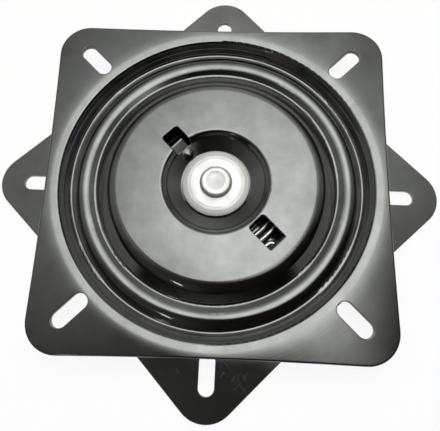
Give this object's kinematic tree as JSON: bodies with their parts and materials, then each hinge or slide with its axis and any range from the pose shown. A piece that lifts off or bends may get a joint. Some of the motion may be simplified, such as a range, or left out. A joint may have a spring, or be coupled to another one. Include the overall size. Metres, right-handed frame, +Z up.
{
  "type": "seat swivel plate",
  "caption": "Square swivel plate: two pressed steel plates turn on a ball race about a riveted pivot, with a spring that returns them, for mounting a chair top on a base.",
  "frame": {"origin": "centre of the base plate's underside, on the pivot axis", "axes": "+Z up along the pivot axis, from the base plate to the top plate; X and Y along the base plate's diagonals"},
  "size_m": [0.2664, 0.2664, 0.0222],
  "materials": {
    "black_coat": "gloss black coating",
    "bright_plate": "bright plated",
    "plain_steel": "plain, lightly oiled",
    "spring_wire": "drawn wire, lightly greased",
    "ball_steel": "polished"
  },
  "bodies": {
    "base": {"base_plate": "black_coat", "spacer_ring": "plain_steel", "return_spring": "spring_wire", "cap_washer": "bright_plate", "pivot_rivet": "bright_plate"},
    "top": {"top_plate": "black_coat"},
    "race": {"ball_cage": "plain_steel", "ball_01": "ball_steel", "ball_02": "ball_steel", "ball_03": "ball_steel", "ball_04": "ball_steel", "ball_05": "ball_steel", "ball_06": "ball_steel", "ball_07": "ball_steel", "ball_08": "ball_steel", "ball_09": "ball_steel", "ball_10": "ball_steel", "ball_11": "ball_steel", "ball_12": "ball_steel", "ball_13": "ball_steel", "ball_14": "ball_steel", "ball_15": "ball_steel", "ball_16": "ball_steel", "ball_17": "ball_steel", "ball_18": "ball_steel", "ball_19": "ball_steel", "ball_20": "ball_steel", "ball_21": "ball_steel", "ball_22": "ball_steel", "ball_23": "ball_steel", "ball_24": "ball_steel"}
  },
  "joints": [
    {"name": "swivel", "type": "hinge", "parent": "base", "child": "top", "pos_m": [0, 0, 0.0111], "axis": [0, 0, 1], "range_deg": [-90, 90], "stiffness_Nm_per_rad": 2.7, "deforming": ["return_spring"]},
    {"name": "cage_roll", "type": "hinge", "parent": "base", "child": "race", "pos_m": [0, 0, 0.0111], "axis": [0, 0, 1], "range_deg": [-45, 45]}
  ],
  "couplings": [
    {"joint": "cage_roll", "follows": "swivel", "ratio": 0.5}
  ]
}
